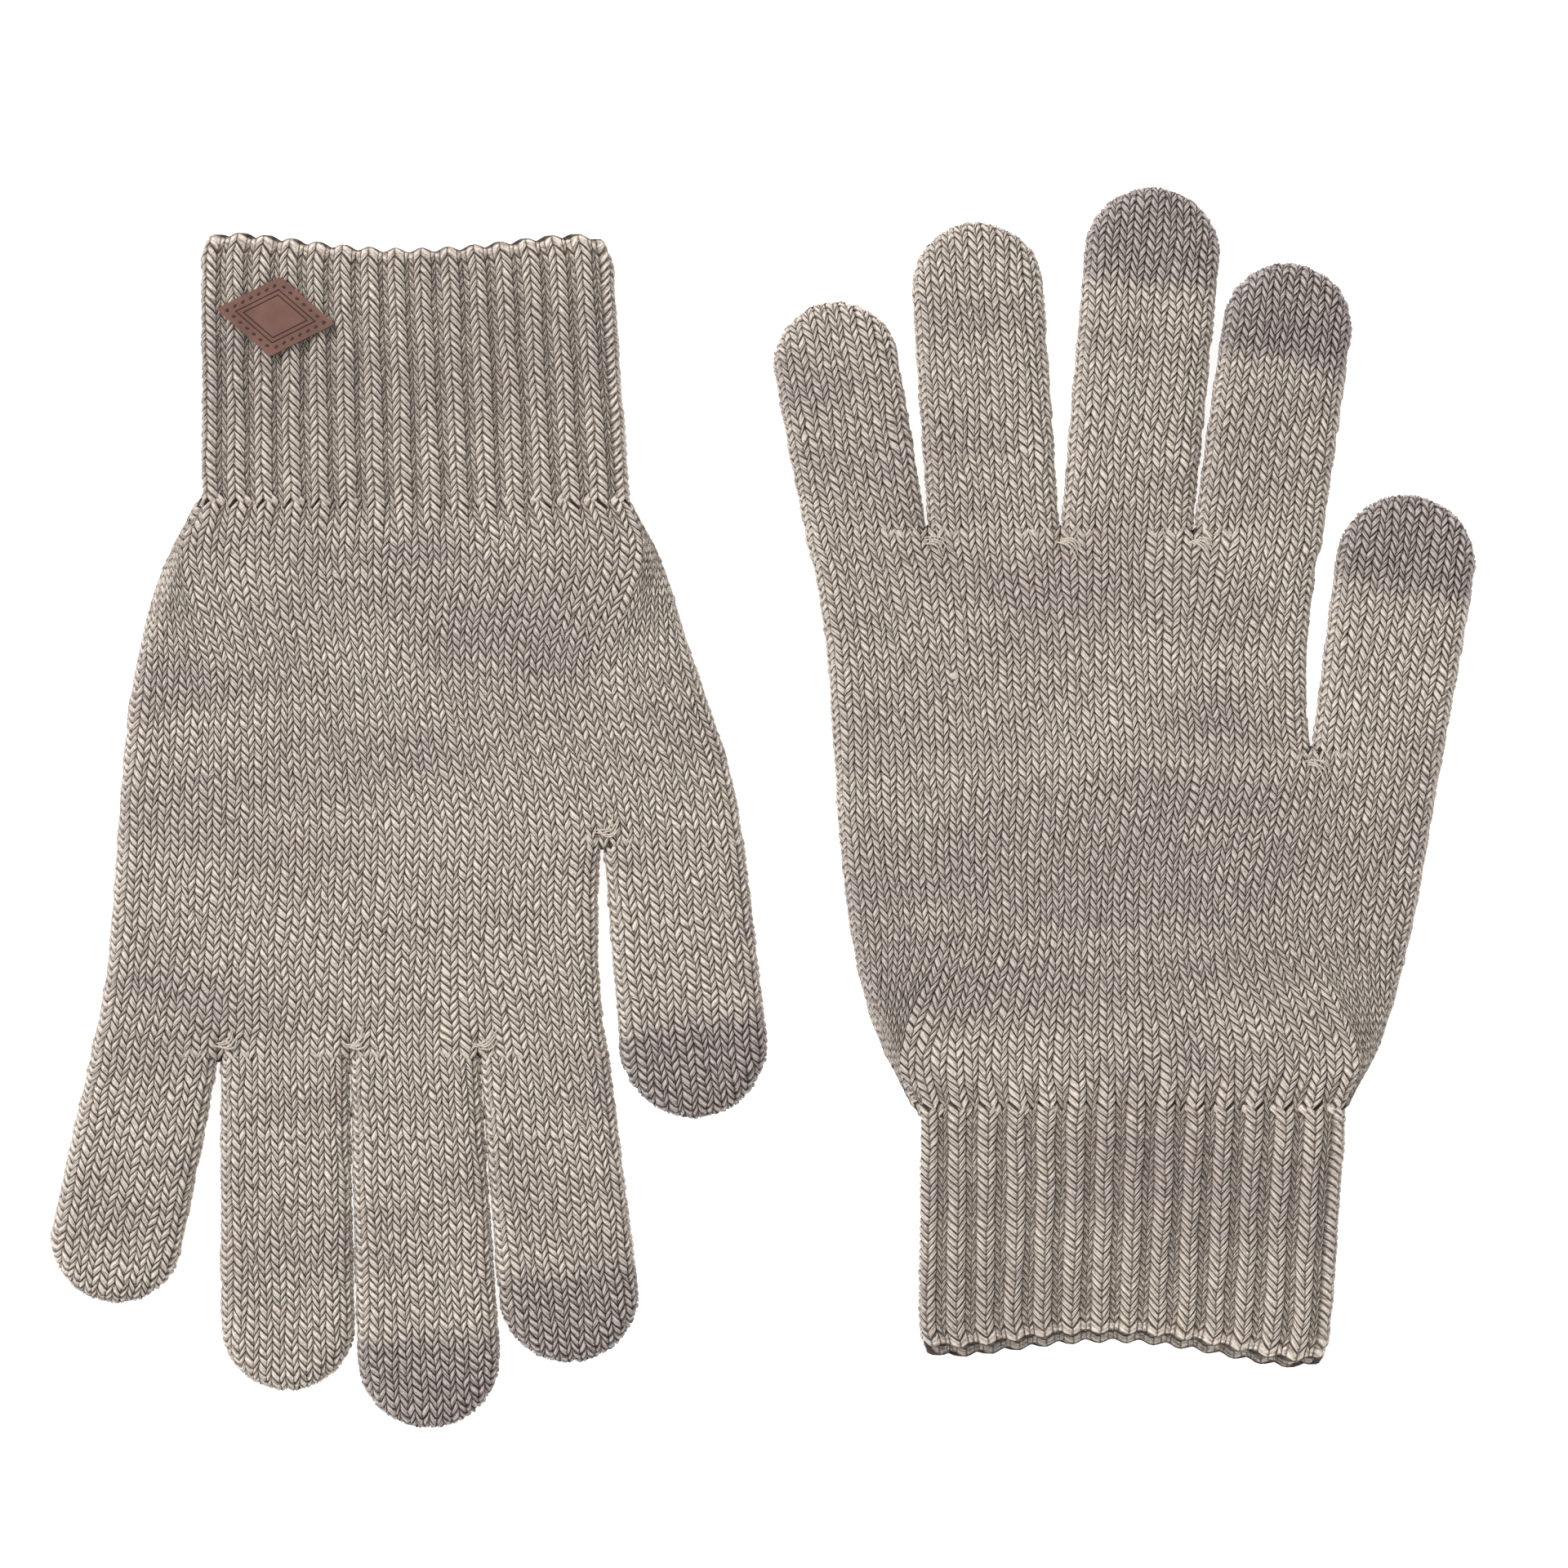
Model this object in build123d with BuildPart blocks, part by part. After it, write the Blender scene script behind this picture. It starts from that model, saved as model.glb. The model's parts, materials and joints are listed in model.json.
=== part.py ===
from build123d import *

import os
from dataclasses import dataclass
from math import atan2, cos, degrees, radians, sin

# A pair of knitted touchscreen gloves lying flat and empty on a table, backs up.
# Each glove is drawn in its own plan: x across the palm, v from the wrist line towards the
# fingertips, thumb on +x. The left-hand glove points to +Y and the right-hand glove to -Y.

# Fabric, in millimetres
KNIT_WALL = 1.6  # one layer of the plain knit
RIB_WALL = 2.0  # one layer of the ribbed cuff
HAND_THICKNESS = 8.0  # two layers and the room between them, over hand and fingers
CUFF_THICKNESS = 9.0  # the same over the cuff
EDGE_ROUND = 3.4  # round of the folded side edges
ROUND_LIMIT = 0.44  # the most of a form's thickness that the round may take
FOLD_GAP = 0.5  # clear gap between the pieces on the two sides of a fold line
FINGER_SLIT = 0.5  # clear gap between neighbouring finger tubes at their roots

# Palm
WRIST_WIDTH = 88.0
HEEL_START = 9.0  # distance from the wrist line at which the palm flares most
HEEL_START_FLARE = 4.5  # how far each side has flared there
HEEL_LEVEL = 26.0  # distance from the wrist line at which it has flared
HEEL_FLARE = 10.7  # how far each side has flared there
LITTLE_SIDE_WAIST = 60.3  # centre line to the little finger's side, level with the thumb crotch
UPPER_PALM_DRAW_IN = 0.8  # how far the upper palm's thumb side curves in
UPPER_PALM_WAIST = 0.45  # where it does, as a share of the way from thumb crotch to fingers

# Cuff
CUFF_MOUTH_WIDTH = 84.5
CUFF_MOUTH_SHIFT = -1.9  # the mouth lies a little to the little finger's side
CUFF_MOUTH_DIP = 2.6  # how far the middle of the mouth curves in behind its corners

# Fingers
ROOT_STUB = 8.0  # length of finger tube, past the crotches, that stays with the palm
ROOT_DEPTH = 9.0  # how far a finger's form reaches back into the palm
ROOT_TUCK = 1.6  # how far its sides draw in there, so that they stay inside the palm
MIDDLE_FOLD = 0.5  # a finger's second fold line, as a share of its length
CONDUCTIVE_LENGTH = 20.0  # length of the conductive yarn at a fingertip

# Yarn ends at the crotches
YARN_END_LENGTH = 6.5
YARN_END_WIDTH = 1.6
YARN_END_HEIGHT = 0.9
YARN_END_SLANT = -45.0
YARN_END_OFFSET = (1.6, -1.2)  # from the crotch, across and along the glove

# Leather tag on the right-hand glove's cuff
TAG_LONG = 25.0  # long diagonal
TAG_SHORT = 16.5  # short diagonal
TAG_THICKNESS = 1.2
TAG_TURN = 7.4
TAG_CENTRE = (-27.8, -36.8)
TAG_CORNER_ROUND = 0.4
STITCH_PITCH = 1.8
STITCH_END_SPACE = 2.0  # from a corner of the tag to the first hole, at least
STITCH_INSET = 1.2  # from the tag's edge
STITCH_HOLE_RADIUS = 0.35
STITCH_THREAD = 0.5
STITCH_SPACE = 0.15  # clear gap between two stitches

# The pair
WRIST_SPACING_X = 145.8  # between the two gloves' centre lines
WRIST_SPACING_Y = 124.5  # between the two wrist lines


@dataclass(frozen=True)
class Finger:
    """One finger tube: widths across it, its lean towards +x, and its length past the crotch."""

    name: str
    root_width: float
    tip_width: float
    lean: float
    length: float
    conductive: bool


@dataclass(frozen=True)
class Glove:
    """The sizes in which the two gloves differ, as each lies."""

    name: str
    points_to_plus_y: bool
    palm_length: float
    middle_x: float  # centre line to the middle finger's root
    thumb_crotch: float
    thumb_crotch_x: float
    cuff_length: float
    fingers: tuple


LEFT_HAND = Glove(
    name="left",
    points_to_plus_y=True,
    palm_length=117.2,
    middle_x=-0.8,
    thumb_crotch=72.2,
    thumb_crotch_x=36.6,
    cuff_length=52.0,
    fingers=(
        Finger("little", 24.6, 25.2, -10.1, 47.9, False),
        Finger("ring", 26.4, 26.6, -3.9, 63.6, False),
        Finger("middle", 26.4, 27.4, 5.2, 70.9, True),
        Finger("index", 26.2, 26.0, 8.0, 55.6, True),
        Finger("thumb", 26.2, 28.2, 8.5, 53.5, True),
    ),
)
RIGHT_HAND = Glove(
    name="right",
    points_to_plus_y=False,
    palm_length=112.6,
    middle_x=0.1,
    thumb_crotch=69.4,
    thumb_crotch_x=38.2,
    cuff_length=52.6,
    fingers=(
        Finger("little", 25.8, 26.6, -11.6, 51.8, False),
        Finger("ring", 25.9, 27.0, 0.6, 68.8, False),
        Finger("middle", 25.8, 28.8, 2.7, 76.5, True),
        Finger("index", 25.8, 28.2, 6.0, 63.4, True),
        Finger("thumb", 28.2, 29.8, 5.7, 56.7, True),
    ),
)


# Plan of one glove


def root_centre(glove, finger):
    """The middle of a finger's root, in the glove's plan."""
    little, ring, middle, index, thumb = glove.fingers
    if finger is thumb:
        return glove.thumb_crotch_x + FINGER_SLIT + thumb.root_width / 2, glove.thumb_crotch
    step_to_middle = {
        middle: 0.0,
        index: (middle.root_width + index.root_width) / 2 + FINGER_SLIT,
        ring: -(middle.root_width + ring.root_width) / 2 - FINGER_SLIT,
        little: -(middle.root_width + little.root_width) / 2 - ring.root_width - 2 * FINGER_SLIT,
    }
    return glove.middle_x + step_to_middle[finger], glove.palm_length


def along(glove, finger, distance, across=0.0):
    """The point in plan that lies this far along a finger from its root."""
    x, v = root_centre(glove, finger)
    lean = radians(finger.lean)
    return (
        x + distance * sin(lean) + across * cos(lean),
        v + distance * cos(lean) - across * sin(lean),
    )


def crotches(glove):
    """The crotch between each finger and the next one, then the thumb's."""
    little, ring, middle, index, thumb = glove.fingers
    found = []
    for finger in (ring, middle, index):
        x, v = root_centre(glove, finger)
        found.append((x - (finger.root_width + FINGER_SLIT) / 2, v))
    return found + [(glove.thumb_crotch_x + FINGER_SLIT / 2, glove.thumb_crotch)]


def reach(glove, direction):
    """How far the round fingertips reach from the wrist's centre along +x, -x or +v."""
    far = []
    for finger in glove.fingers:
        radius = finger.tip_width / 2
        x, v = along(glove, finger, finger.length - radius)
        far.append({"+x": x + radius, "-x": -x + radius, "+v": v + radius}[direction])
    return max(far)


def wrist_centre(glove):
    """The wrist line's middle, placed so that the pair's box is centred on the origin."""
    middle_x = (reach(RIGHT_HAND, "-x") - reach(LEFT_HAND, "+x")) / 2
    middle_y = (reach(RIGHT_HAND, "+v") - reach(LEFT_HAND, "+v")) / 2
    side = 1 if glove is LEFT_HAND else -1
    return middle_x + side * WRIST_SPACING_X / 2, middle_y - side * WRIST_SPACING_Y / 2


def forward(glove):
    """+1 where the fingers point to +Y, -1 where they point to -Y."""
    return 1 if glove.points_to_plus_y else -1


def plan(glove, height=0.0):
    """The glove's plan as a sketch plane at this height."""
    x, y = wrist_centre(glove)
    return Plane(origin=(x, y, height), x_dir=(1, 0, 0), z_dir=(0, 0, forward(glove)))


def across_glove(glove, level):
    """The upright plane straight across the glove at this level, facing the fingertips."""
    x, y = wrist_centre(glove)
    turn = forward(glove)
    return Plane(origin=(x, y + turn * level, 0), x_dir=(1, 0, 0), z_dir=(0, turn, 0))


def across_finger(glove, finger, distance):
    """The upright plane square to a finger this far from its root, facing its tip."""
    base = plan(glove)
    start = base.from_local_coords(along(glove, finger, distance))
    ahead = base.from_local_coords(along(glove, finger, distance + 1))
    return Plane(origin=start, z_dir=ahead - start)


# Levels of the fold lines


def root_fold(glove, finger):
    """Level of the fold line at a finger's root."""
    return root_centre(glove, finger)[1] + ROOT_STUB


def middle_fold(glove, finger):
    """Level of the fold line in a finger's middle."""
    return along(glove, finger, finger.length * MIDDLE_FOLD)[1]


# Forms: the outside of a tube with inset 0, and the room inside it with the wall as inset


def raise_form(glove, height, inset):
    """Turn the pending plan into a slab that stops short of the faces by the inset."""
    extrude(amount=forward(glove) * (height - 2 * inset))


def round_sides(form, inset, left_out):
    """Round the slab's upper and lower edges, but for those that left_out says yes to."""
    levels = form.faces().filter_by(Plane.XY)
    edges = [edge for face in levels for edge in face.edges() if not left_out(edge)]
    thickness = form.part.bounding_box().size.Z + 2 * inset
    fillet(edges, min(EDGE_ROUND, ROUND_LIMIT * thickness) - inset)


def finger_form(glove, finger, inset=0.0):
    """One finger's form, from inside the palm to its round tip."""
    root = finger.root_width / 2 - inset
    tip = finger.tip_width / 2 - inset
    tip_start = finger.length - finger.tip_width / 2
    with BuildPart() as form:
        with BuildSketch(plan(glove, inset)):
            with BuildLine():
                corner_a = along(glove, finger, -ROOT_DEPTH, ROOT_TUCK - root)
                corner_b = along(glove, finger, -ROOT_DEPTH, root - ROOT_TUCK)
                root_a = along(glove, finger, 0, -root)
                root_b = along(glove, finger, 0, root)
                side_a = along(glove, finger, tip_start, -tip)
                side_b = along(glove, finger, tip_start, tip)
                Polyline(side_a, root_a, corner_a, corner_b, root_b, side_b)
                ThreePointArc(side_b, along(glove, finger, tip_start + tip), side_a)
            make_face()
        raise_form(glove, HAND_THICKNESS, inset)
        ends = across_finger(glove, finger, -ROOT_DEPTH)
        round_sides(form, inset, lambda edge: abs(ends.to_local_coords(edge.center()).Z) < inset + 1)
    return form.part


def palm_form(glove, inset=0.0):
    """The palm's form, from just inside the cuff to the finger crotches."""
    little, ring, middle, index, thumb = glove.fingers
    start = -ROOT_DEPTH
    little_edge = root_centre(glove, little)[0] - little.root_width / 2
    index_edge = root_centre(glove, index)[0] + index.root_width / 2
    thumb_edge = root_centre(glove, thumb)[0] + thumb.root_width / 2
    wrist = WRIST_WIDTH / 2 - inset
    heel_start = WRIST_WIDTH / 2 + HEEL_START_FLARE - inset
    heel = WRIST_WIDTH / 2 + HEEL_FLARE - inset
    top = glove.palm_length - inset
    ledge = glove.thumb_crotch - inset
    waist_level = glove.thumb_crotch + (glove.palm_length - glove.thumb_crotch) * UPPER_PALM_WAIST
    with BuildPart() as form:
        with BuildSketch(plan(glove, inset)):
            with BuildLine():
                Spline(
                    (-wrist, start),
                    (-wrist, 0),
                    (-heel_start, HEEL_START),
                    (-heel, HEEL_LEVEL),
                    (-LITTLE_SIDE_WAIST + inset, glove.thumb_crotch),
                    (little_edge + inset, top),
                )
                Line((little_edge + inset, top), (index_edge - inset, top))
                ThreePointArc(
                    (index_edge - inset, top),
                    (glove.thumb_crotch_x - UPPER_PALM_DRAW_IN - inset, waist_level),
                    (glove.thumb_crotch_x - inset, ledge),
                )
                Line((glove.thumb_crotch_x - inset, ledge), (thumb_edge - inset, ledge))
                Spline(
                    (thumb_edge - inset, ledge),
                    (heel, HEEL_LEVEL),
                    (heel_start, HEEL_START),
                    (wrist, 0),
                    (wrist, start),
                    tangents=[(-sin(radians(thumb.lean)), -cos(radians(thumb.lean))), (0, -1)],
                )
                Line((wrist, start), (-wrist, start))
            make_face()
        raise_form(glove, HAND_THICKNESS, inset)
        base = plan(glove)

        def lies_across(edge):
            ends = [base.to_local_coords(vertex.center()).Y for vertex in edge.vertices()]
            return abs(ends[0] - ends[1]) < inset + 1

        round_sides(form, inset, lies_across)
    return form.part


def cuff_form(glove, inset=0.0):
    """The cuff's form, from its curved mouth to the wrist line; the room inside runs past both."""
    wrist = WRIST_WIDTH / 2 - inset
    mouth = CUFF_MOUTH_WIDTH / 2 - inset
    mouth_level = -glove.cuff_length - inset
    with BuildPart() as form:
        with BuildSketch(plan(glove, inset)):
            with BuildLine():
                corner_a = (CUFF_MOUTH_SHIFT - mouth, mouth_level)
                corner_b = (CUFF_MOUTH_SHIFT + mouth, mouth_level)
                Polyline(corner_a, (-wrist, inset), (wrist, inset), corner_b)
                ThreePointArc(corner_b, (CUFF_MOUTH_SHIFT, mouth_level + CUFF_MOUTH_DIP), corner_a)
            make_face()
        raise_form(glove, CUFF_THICKNESS, inset)
        base = plan(glove)

        def lies_across(edge):
            ends = [base.to_local_coords(vertex.center()).Y for vertex in edge.vertices()]
            return abs(ends[0] - ends[1]) < inset + 1

        round_sides(form, inset, lies_across)
    return form.part


# Pieces


def cut_between(glove, low=None, high=None):
    """Keep what lies between two levels of the glove, each plane half a fold gap clear."""
    if low is not None:
        split(bisect_by=across_glove(glove, low + FOLD_GAP / 2), keep=Keep.TOP)
    if high is not None:
        split(bisect_by=across_glove(glove, high - FOLD_GAP / 2), keep=Keep.BOTTOM)


def finger_stub(glove, finger):
    """The root of a finger's form, which stays with the palm."""
    with BuildPart() as stub:
        add(finger_form(glove, finger))
        cut_between(glove, high=root_fold(glove, finger))
    return stub.part


def save(part, name):
    """Label one finished piece and write it."""
    part.label = name
    export_step(part, f"parts/{name}.step")


def make_cuff(glove):
    outside = cuff_form(glove)
    room = cuff_form(glove, RIB_WALL)
    with BuildPart() as cuff:
        add(outside)
        add(room, mode=Mode.SUBTRACT)
        cut_between(glove, high=0)
    save(cuff.part, f"{glove.name}_cuff")


def make_lower_palm(glove):
    thumb = glove.fingers[-1]
    palm = palm_form(glove)
    thumb_root = finger_stub(glove, thumb)
    rooms = [palm_form(glove, KNIT_WALL), finger_form(glove, thumb, KNIT_WALL)]
    with BuildPart() as lower_palm:
        add(palm)
        split(bisect_by=across_glove(glove, glove.thumb_crotch), keep=Keep.BOTTOM)
        add(thumb_root)
        for room in rooms:
            add(room, mode=Mode.SUBTRACT)
        cut_between(glove, low=0)
    save(lower_palm.part, f"{glove.name}_lower_palm")


def make_upper_palm(glove):
    fingers = glove.fingers[:-1]
    palm = palm_form(glove)
    stubs = [finger_stub(glove, finger) for finger in fingers]
    rooms = [palm_form(glove, KNIT_WALL)]
    rooms += [finger_form(glove, finger, KNIT_WALL) for finger in fingers]
    with BuildPart() as upper_palm:
        add(palm)
        for stub in stubs:
            add(stub)
        for room in rooms:
            add(room, mode=Mode.SUBTRACT)
        split(bisect_by=across_glove(glove, glove.thumb_crotch), keep=Keep.TOP)
    save(upper_palm.part, f"{glove.name}_upper_palm")


def make_finger(glove, finger):
    """The finger's tube past its root: base, end, and the conductive tip if it has one."""
    outside = finger_form(glove, finger)
    room = finger_form(glove, finger, KNIT_WALL)
    tip_start = across_finger(glove, finger, finger.length - CONDUCTIVE_LENGTH)
    with BuildPart() as base:
        add(outside)
        add(room, mode=Mode.SUBTRACT)
        cut_between(glove, low=root_fold(glove, finger), high=middle_fold(glove, finger))
    save(base.part, f"{glove.name}_{finger.name}_base")
    with BuildPart() as end:
        add(outside)
        add(room, mode=Mode.SUBTRACT)
        cut_between(glove, low=middle_fold(glove, finger))
        if finger.conductive:
            split(bisect_by=tip_start, keep=Keep.BOTTOM)
    save(end.part, f"{glove.name}_{finger.name}_end")
    if finger.conductive:
        with BuildPart() as tip:
            add(outside)
            add(room, mode=Mode.SUBTRACT)
            split(bisect_by=tip_start, keep=Keep.TOP)
        save(tip.part, f"{glove.name}_{finger.name}_tip")


def make_yarn_ends(glove):
    """A tuft of cream yarn on the knit beside each crotch."""
    places = [(x + YARN_END_OFFSET[0], v + YARN_END_OFFSET[1]) for x, v in crotches(glove)]
    with BuildPart() as yarn_ends:
        with BuildSketch(plan(glove, HAND_THICKNESS)):
            with Locations(*places):
                SlotOverall(YARN_END_LENGTH, YARN_END_WIDTH, rotation=YARN_END_SLANT)
        extrude(amount=forward(glove) * YARN_END_HEIGHT)
    save(yarn_ends.part, f"{glove.name}_crotch_yarn_ends")


def tag_plane(glove, height):
    """The tag's own plane on the cuff, long diagonal along x."""
    base = plan(glove)
    centre = base.from_local_coords(TAG_CENTRE)
    flat = Plane(origin=(centre.X, centre.Y, height), x_dir=(1, 0, 0), z_dir=(0, 0, 1))
    return flat.rotated((0, 0, -TAG_TURN))


def stitch_count():
    """How many holes fit along each side of the tag."""
    side = Vector(TAG_LONG / 2, TAG_SHORT / 2).length
    return 1 + int((side - 2 * STITCH_END_SPACE) / STITCH_PITCH)


def tag_sides():
    """The middle and the turn of each of the tag's four stitch lines, in the tag's plane."""
    normal = Vector(TAG_SHORT, TAG_LONG).normalized()
    middle = Vector(TAG_LONG / 4, TAG_SHORT / 4) - normal * STITCH_INSET
    turn = -degrees(atan2(TAG_SHORT, TAG_LONG))
    return [
        (middle.X, middle.Y, turn),
        (-middle.X, middle.Y, -turn),
        (-middle.X, -middle.Y, turn),
        (middle.X, -middle.Y, -turn),
    ]


def make_tag(glove):
    """The leather diamond, punched for its stitches."""
    corners = [(TAG_LONG / 2, 0), (0, TAG_SHORT / 2), (-TAG_LONG / 2, 0), (0, -TAG_SHORT / 2)]
    with BuildPart() as tag:
        with BuildSketch(tag_plane(glove, CUFF_THICKNESS)) as outline:
            Polygon(*corners, align=None)
            fillet(outline.vertices(), TAG_CORNER_ROUND)
        extrude(amount=TAG_THICKNESS)
        with BuildSketch(tag_plane(glove, CUFF_THICKNESS)):
            for x, y, turn in tag_sides():
                with Locations(Location((x, y), turn)):
                    with GridLocations(STITCH_PITCH, 0, stitch_count(), 1):
                        Circle(STITCH_HOLE_RADIUS)
        extrude(amount=TAG_THICKNESS, mode=Mode.SUBTRACT)
    save(tag.part, "tag")


def make_tag_stitching(glove):
    """The stitches that lie on the tag between its holes, each its own short length of thread."""
    stitch = STITCH_PITCH - STITCH_SPACE
    with BuildPart() as stitching:
        with BuildSketch(tag_plane(glove, CUFF_THICKNESS + TAG_THICKNESS)):
            for x, y, turn in tag_sides():
                with Locations(Location((x, y), turn)):
                    with GridLocations(STITCH_PITCH, 0, stitch_count() - 1, 1):
                        SlotOverall(stitch, STITCH_THREAD)
        extrude(amount=STITCH_THREAD)
    save(stitching.part, "tag_stitching")


os.makedirs("parts", exist_ok=True)
for each_glove in (LEFT_HAND, RIGHT_HAND):
    make_cuff(each_glove)
    make_lower_palm(each_glove)
    make_upper_palm(each_glove)
    for each_finger in each_glove.fingers:
        make_finger(each_glove, each_finger)
    make_yarn_ends(each_glove)
make_tag(RIGHT_HAND)
make_tag_stitching(RIGHT_HAND)
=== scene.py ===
import bpy
import bmesh
import json
import math
import numpy as np
from mathutils import Matrix, Vector


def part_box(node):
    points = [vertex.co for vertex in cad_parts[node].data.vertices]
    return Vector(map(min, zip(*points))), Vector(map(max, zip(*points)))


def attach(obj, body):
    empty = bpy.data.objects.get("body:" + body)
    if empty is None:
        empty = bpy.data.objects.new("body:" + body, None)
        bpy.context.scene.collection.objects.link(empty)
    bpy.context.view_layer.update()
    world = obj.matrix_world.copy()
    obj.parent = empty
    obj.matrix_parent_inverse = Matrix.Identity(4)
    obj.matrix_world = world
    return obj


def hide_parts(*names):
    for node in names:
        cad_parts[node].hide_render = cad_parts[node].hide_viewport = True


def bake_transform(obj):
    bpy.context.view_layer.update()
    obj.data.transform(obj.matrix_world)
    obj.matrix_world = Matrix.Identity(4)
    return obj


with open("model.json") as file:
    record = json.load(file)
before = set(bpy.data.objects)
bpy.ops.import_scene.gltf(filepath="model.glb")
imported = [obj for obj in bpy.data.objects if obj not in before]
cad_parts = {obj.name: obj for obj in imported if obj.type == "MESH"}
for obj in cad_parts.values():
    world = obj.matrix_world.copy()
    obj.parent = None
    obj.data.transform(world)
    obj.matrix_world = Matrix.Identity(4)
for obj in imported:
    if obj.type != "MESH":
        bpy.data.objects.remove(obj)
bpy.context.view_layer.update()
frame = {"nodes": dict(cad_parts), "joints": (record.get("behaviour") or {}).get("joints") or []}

# A pair of knitted gloves, lying flat. Each glove is worked out in its own plan, in metres:
# x across the palm towards the thumb, v from the wrist line towards the fingertips.
# The fabric is laid out as a real knit is counted, in wales across and courses along.

# ---------------------------------------------------------------- sizes of the knit

MM = 0.001
COURSE = 1.68 * MM  # height of a row of stitches
WALES_ACROSS_PALM = 36
WALES_IN_FINGER = {"little": 10, "ring": 11, "middle": 11, "index": 11, "thumb": 11}
CUFF_RIBS = {"left": 15, "right": 16}
PURL_SHARE = 0.34  # share of a rib's width that its sunk column takes
LEG_RISE = 1.2  # courses that a stitch's leg climbs
RELIEF = 0.8 * MM  # height of a stitch over the ground of the knit
RIB_DEPTH = 1.25 * MM
ROLL = 3.4 * MM  # radius of the folded side edges, seen from above
WALL = 1.3 * MM  # thickness of one layer of knit
STEPS = 4  # rows of faces in a course
CALM_COURSES = 3  # over which the unevenness comes in from a piece's end
UNDER_FOLLOWS = -0.3  # share of the cloth's waves on the face that lies down, the other way up
SLICE = 1.5 * MM  # between the levels at which an outline is read
LOOPS_OUT = 0.62 * MM  # the sheet lies this far inside a tube's sides; its loops stand back out
PALM_TUCK = 0.9 * MM  # how far the course under the next piece's end is drawn in
FINGER_TUCK = 0.5 * MM
CROTCH_REACH = 7 * MM  # fabric over which the two layers draw together towards a crotch
CUFF_EASE = 16 * MM  # fabric over which the cuff's thickness eases down to the hand's
RIBS_FADE = 9 * MM  # fabric over which the purl columns widen to a plain wale
RIBS_FLATTEN = 4.5  # courses of the hand over which the ribs' depth runs out
WALES_SPREAD = 40 * MM  # fabric over which the ribs' wales spread evenly over the palm
FINGERS_FADE = 26 * MM  # fabric over which the palm's wales lean towards the fingers' wales
THUMB_FADE_FROM = 46 * MM  # level from which the heel's wales lean towards the thumb's
FINGER_TURN = 22 * MM  # length over which a leaning finger's courses turn square to it
LAST_BASE_COURSE = 9  # the finger's base piece ends here, between its two bends
CONDUCTIVE = 20 * MM  # length of a conductive tip
TIP_FADE = 5  # courses over which the yarn changes there
MOUTH_DRAW_IN = 1.2 * MM  # how far the cuff's corners round in at its mouth
MOUTH_LIP = 0.7 * MM  # how far its two layers thin towards the edge
TAG_SINK = 0.5 * MM  # how far the tag's weight and stitches press it into the ribs
TAG_CORNER = 0.5 * MM
SLUB_AT = (-35.9 * MM, 88.4 * MM)  # in the left glove's plan
# where the cuff's mouth ends, on the face that shows and on the one that lies down:
# its level at the little finger's corner, how much lower the thumb's is, how far its middle dips
MOUTH = {
    "left": ((48.3 * MM, 3.2 * MM, 5.0 * MM), (50.4 * MM, 2.6 * MM, 4.6 * MM)),
    "right": ((54.2 * MM, -0.3 * MM, 3.6 * MM), (53.4 * MM, -0.3 * MM, 3.2 * MM)),
}

# ---------------------------------------------------------------- unevenness


class Unevenness:
    """Smooth random fields on a lattice, the same at every run."""

    def __init__(self, seed):
        self.table = np.random.default_rng(seed).random((8, 97, 89)) * 2 - 1

    def at(self, layer, u, v):
        table = self.table[layer]
        rows, cols = table.shape
        u, v = np.asarray(u, float), np.asarray(v, float)
        i, j = np.floor(u).astype(int), np.floor(v).astype(int)
        a, b = u - i, v - j
        a, b = a * a * (3 - 2 * a), b * b * (3 - 2 * b)
        i0, i1, j0, j1 = i % rows, (i + 1) % rows, j % cols, (j + 1) % cols
        low = table[i0, j0] * (1 - a) + table[i1, j0] * a
        high = table[i0, j1] * (1 - a) + table[i1, j1] * a
        return low * (1 - b) + high * b


def smooth(x):
    x = np.clip(x, 0, 1)
    return x * x * (3 - 2 * x)


# ---------------------------------------------------------------- what the frame says

JOINTS = {joint["name"]: joint for joint in frame["joints"]}


def points_of(mesh):
    """A mesh's vertices as rows of x, y and z."""
    co = np.empty(len(mesh.vertices) * 3)
    mesh.vertices.foreach_get("co", co)
    return co.reshape(-1, 3)


class CadMesh:
    """The edges of a CAD node, to be sliced for its outline."""

    def __init__(self, node):
        mesh = frame["nodes"][node].data
        co = points_of(mesh)
        pairs = np.empty(len(mesh.edges) * 2, int)
        mesh.edges.foreach_get("vertices", pairs)
        pairs = pairs.reshape(-1, 2)
        self.start, self.end = co[pairs[:, 0]], co[pairs[:, 1]]

    def span(self, y):
        """Lowest and highest x where the node crosses this y."""
        ya, yb = self.start[:, 1], self.end[:, 1]
        cross = (ya - y) * (yb - y) <= 0
        share = (y - ya[cross]) / np.where(yb[cross] == ya[cross], 1, yb[cross] - ya[cross])
        x = self.start[cross, 0] + share * (self.end[cross, 0] - self.start[cross, 0])
        return x.min(), x.max()


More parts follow.
